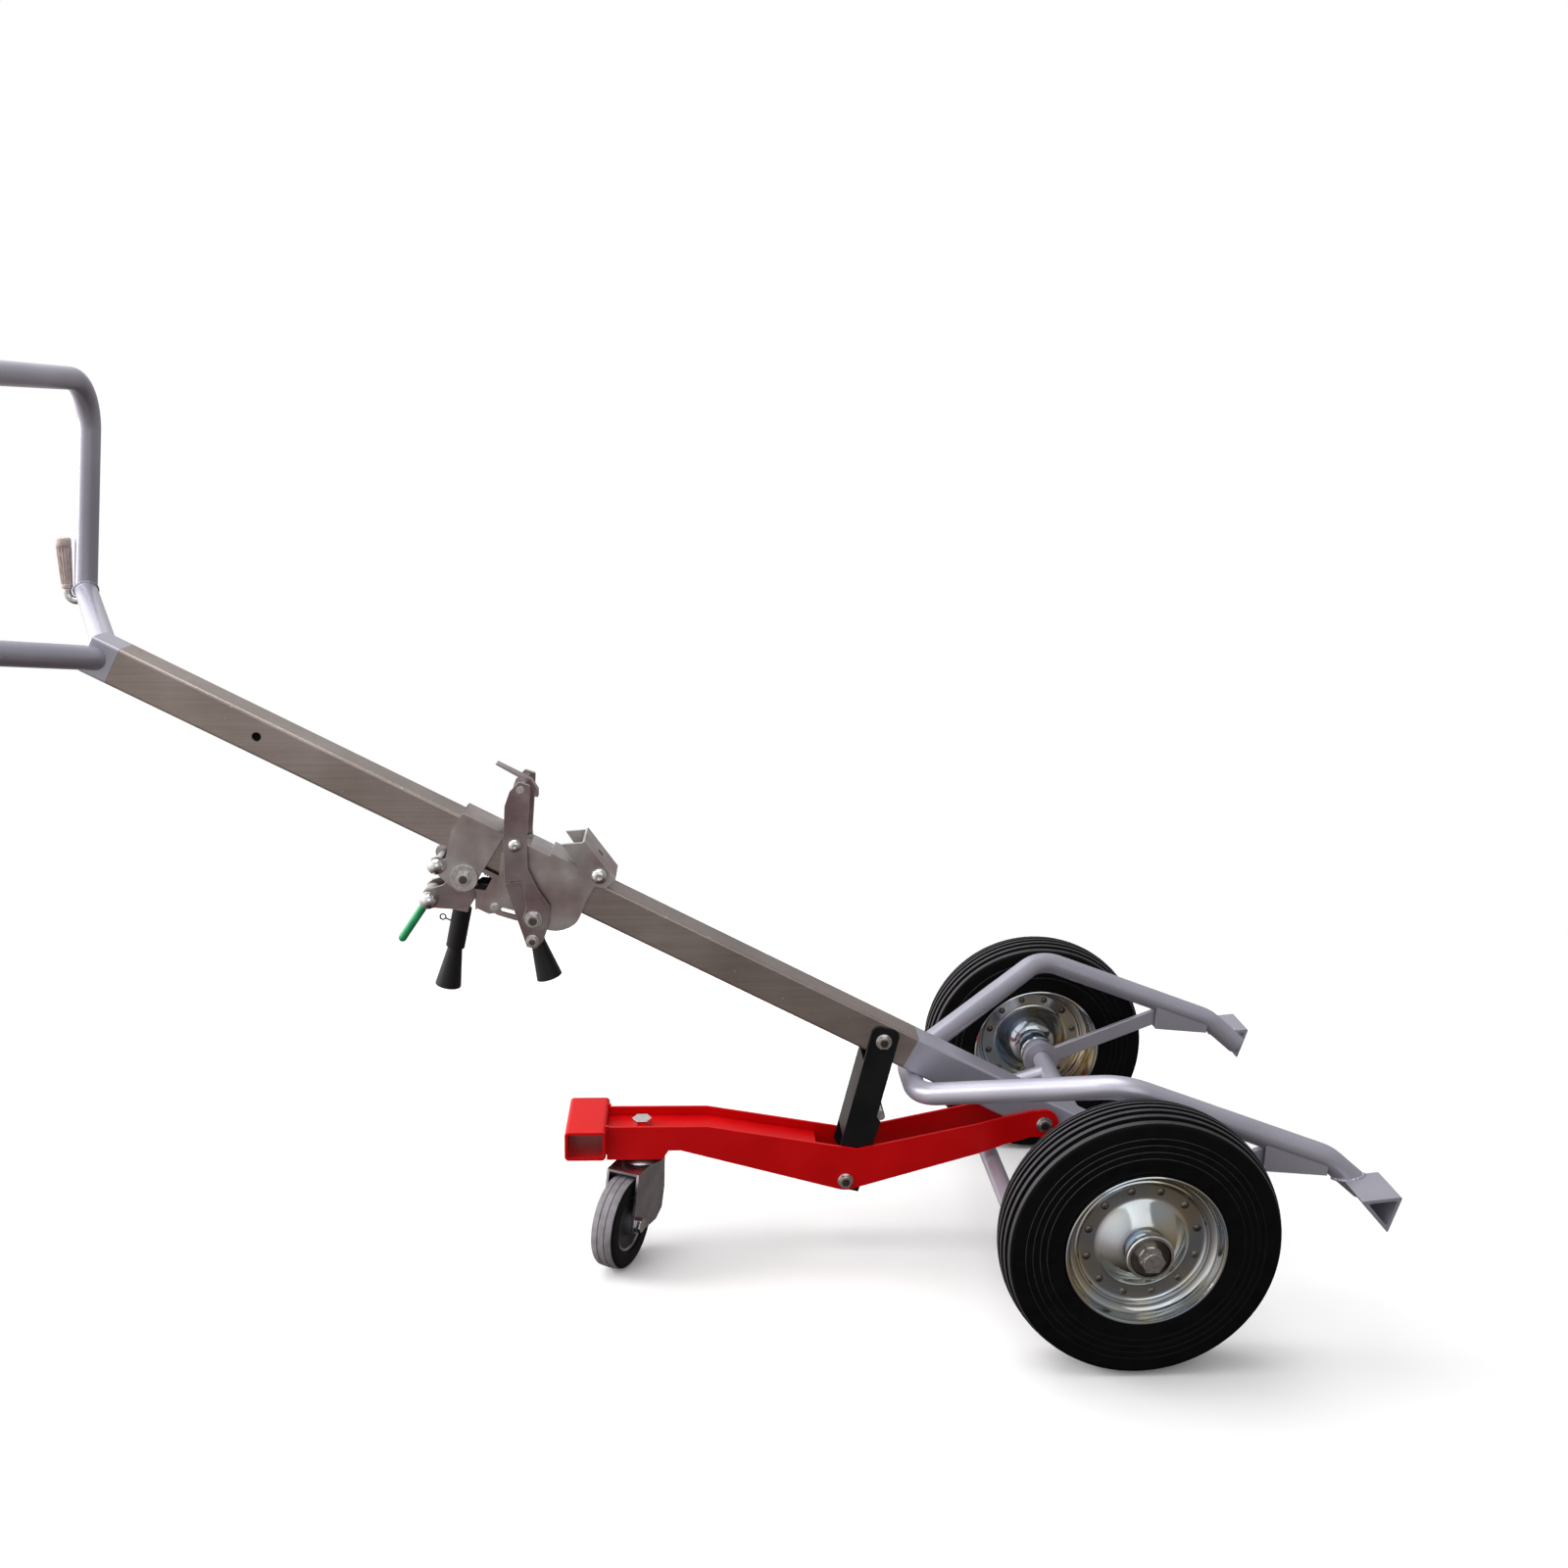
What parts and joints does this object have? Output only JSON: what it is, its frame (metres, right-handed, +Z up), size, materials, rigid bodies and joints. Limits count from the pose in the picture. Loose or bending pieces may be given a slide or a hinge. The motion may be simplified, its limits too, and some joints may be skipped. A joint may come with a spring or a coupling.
{
  "type": "drum truck",
  "caption": "Tilting drum truck with a square mast, loop handle, drum cradle with toe feet, wheels, a folding castor stand and a sliding rim clamp with hook, jaw and pump lever.",
  "frame": {"origin": "on the floor under the middle of the overall box", "axes": "+X from the handle towards the feet, +Y to the left side, +Z up"},
  "size_m": [1.282, 0.5126, 0.851],
  "materials": {
    "mast_zinc": "zinc plate, dull",
    "clamp_zinc": "satin zinc plate",
    "silver_paint": "satin silver-grey",
    "red_paint": "gloss red",
    "black_paint": "satin black",
    "bolt_zinc": "bright zinc",
    "rim_zinc": "bright zinc",
    "tyre_rubber": "black rubber",
    "grey_rubber": "grey rubber",
    "black_plastic": "matt black",
    "beige_plastic": "matt beige-grey",
    "green_dip": "green plastic dip"
  },
  "bodies": {
    "frame": {"base_post": "silver_paint", "mast": "mast_zinc", "head_post": "silver_paint", "mast_spigots": "mast_zinc", "handle_bar": "silver_paint", "left_splay_tube": "silver_paint", "right_splay_tube": "silver_paint", "grip_peg": "bolt_zinc", "peg_grip": "beige_plastic", "cradle_tube": "silver_paint", "left_foot": "silver_paint", "right_foot": "silver_paint", "left_gusset": "silver_paint", "right_gusset": "silver_paint", "left_brace": "silver_paint", "right_brace": "silver_paint", "axle": "silver_paint", "axle_caps": "bolt_zinc", "foot_bar": "silver_paint", "linkage_bolts": "bolt_zinc"},
    "stand": {"stand_side_left": "red_paint", "stand_side_right": "red_paint", "stand_web": "red_paint", "stand_pedal": "red_paint", "knee_pin": "bolt_zinc", "castor_head": "clamp_zinc", "castor_kingpin": "bolt_zinc"},
    "strut": {"prop_strut": "black_paint", "strut_latch": "bolt_zinc"},
    "castor_fork": {"castor_fork": "clamp_zinc", "castor_axle": "bolt_zinc"},
    "castor_wheel": {"castor_core": "black_plastic", "castor_tyre": "grey_rubber"},
    "carriage": {"upper_saddle": "clamp_zinc", "lower_saddle": "clamp_zinc", "saddle_link": "clamp_zinc", "clamp_bolts": "bolt_zinc", "roller_rod": "bolt_zinc"},
    "pump_lever": {"pump_plates": "clamp_zinc", "pump_rod": "bolt_zinc", "pump_socket": "clamp_zinc", "pump_grip": "black_plastic"},
    "release_lever": {"release_lever": "green_dip"},
    "hook": {"hook_arm_left": "clamp_zinc", "hook_arm_right": "clamp_zinc", "claw_rod": "bolt_zinc", "rim_claws": "clamp_zinc", "toe_bolt": "bolt_zinc", "hook_grip": "black_plastic"},
    "jaw": {"support_jaw": "clamp_zinc"},
    "left_wheel": {"left_tyre": "tyre_rubber", "left_rim_outer": "rim_zinc", "left_rim_inner": "rim_zinc", "left_hub": "rim_zinc", "left_rivets": "bolt_zinc"},
    "right_wheel": {"right_tyre": "tyre_rubber", "right_rim_outer": "rim_zinc", "right_rim_inner": "rim_zinc", "right_hub": "rim_zinc", "right_rivets": "bolt_zinc"}
  },
  "joints": [
    {"name": "left_wheel_spin", "type": "hinge", "parent": "frame", "child": "left_wheel", "pos_m": [0.40401, 0, 0.125], "axis": [0, 1, 0], "continuous": true},
    {"name": "right_wheel_spin", "type": "hinge", "parent": "frame", "child": "right_wheel", "pos_m": [0.40401, 0, 0.125], "axis": [0, 1, 0], "continuous": true},
    {"name": "stand_fold", "type": "hinge", "parent": "frame", "child": "stand", "pos_m": [0.36385, 0, 0.13649], "axis": [0, 1, 0], "range_deg": [0, 15]},
    {"name": "strut_swing", "type": "hinge", "parent": "frame", "child": "strut", "pos_m": [0.19838, 0, 0.22584], "axis": [0, -1, 0], "range_deg": [0, 9.2]},
    {"name": "castor_swivel", "type": "hinge", "parent": "stand", "child": "castor_fork", "pos_m": [-0.03899, 0, 0.1], "axis": [0, 0, 1], "continuous": true},
    {"name": "castor_spin", "type": "hinge", "parent": "castor_fork", "child": "castor_wheel", "pos_m": [-0.05758, -0.03988, 0.045], "axis": [0.9063, -0.4226, 0], "continuous": true},
    {"name": "carriage_slide", "type": "slide", "parent": "frame", "child": "carriage", "axis": [-0.891, 0, 0.454], "range_m": [-0.15, 0.25]},
    {"name": "pump_stroke", "type": "hinge", "parent": "carriage", "child": "pump_lever", "pos_m": [-0.20487, 0, 0.39259], "axis": [0, 1, 0], "range_deg": [-10, 25], "stiffness_Nm_per_rad": 6},
    {"name": "release_pull", "type": "hinge", "parent": "pump_lever", "child": "release_lever", "pos_m": [-0.23858, 0, 0.37049], "axis": [0, -1, 0], "range_deg": [0, 20], "stiffness_Nm_per_rad": 0.5, "springref_deg": -11.46},
    {"name": "hook_open", "type": "hinge", "parent": "carriage", "child": "hook", "pos_m": [-0.14031, 0, 0.35409], "axis": [0, -1, 0], "range_deg": [0, 25], "stiffness_Nm_per_rad": 10, "springref_deg": -5.73},
    {"name": "jaw_tilt", "type": "hinge", "parent": "carriage", "child": "jaw", "pos_m": [-0.0785, 0, 0.3961], "axis": [0, 1, 0], "range_deg": [-10, 15]}
  ],
  "couplings": [
    {"joint": "strut_swing", "follows": "stand_fold", "ratio": 0.6}
  ]
}
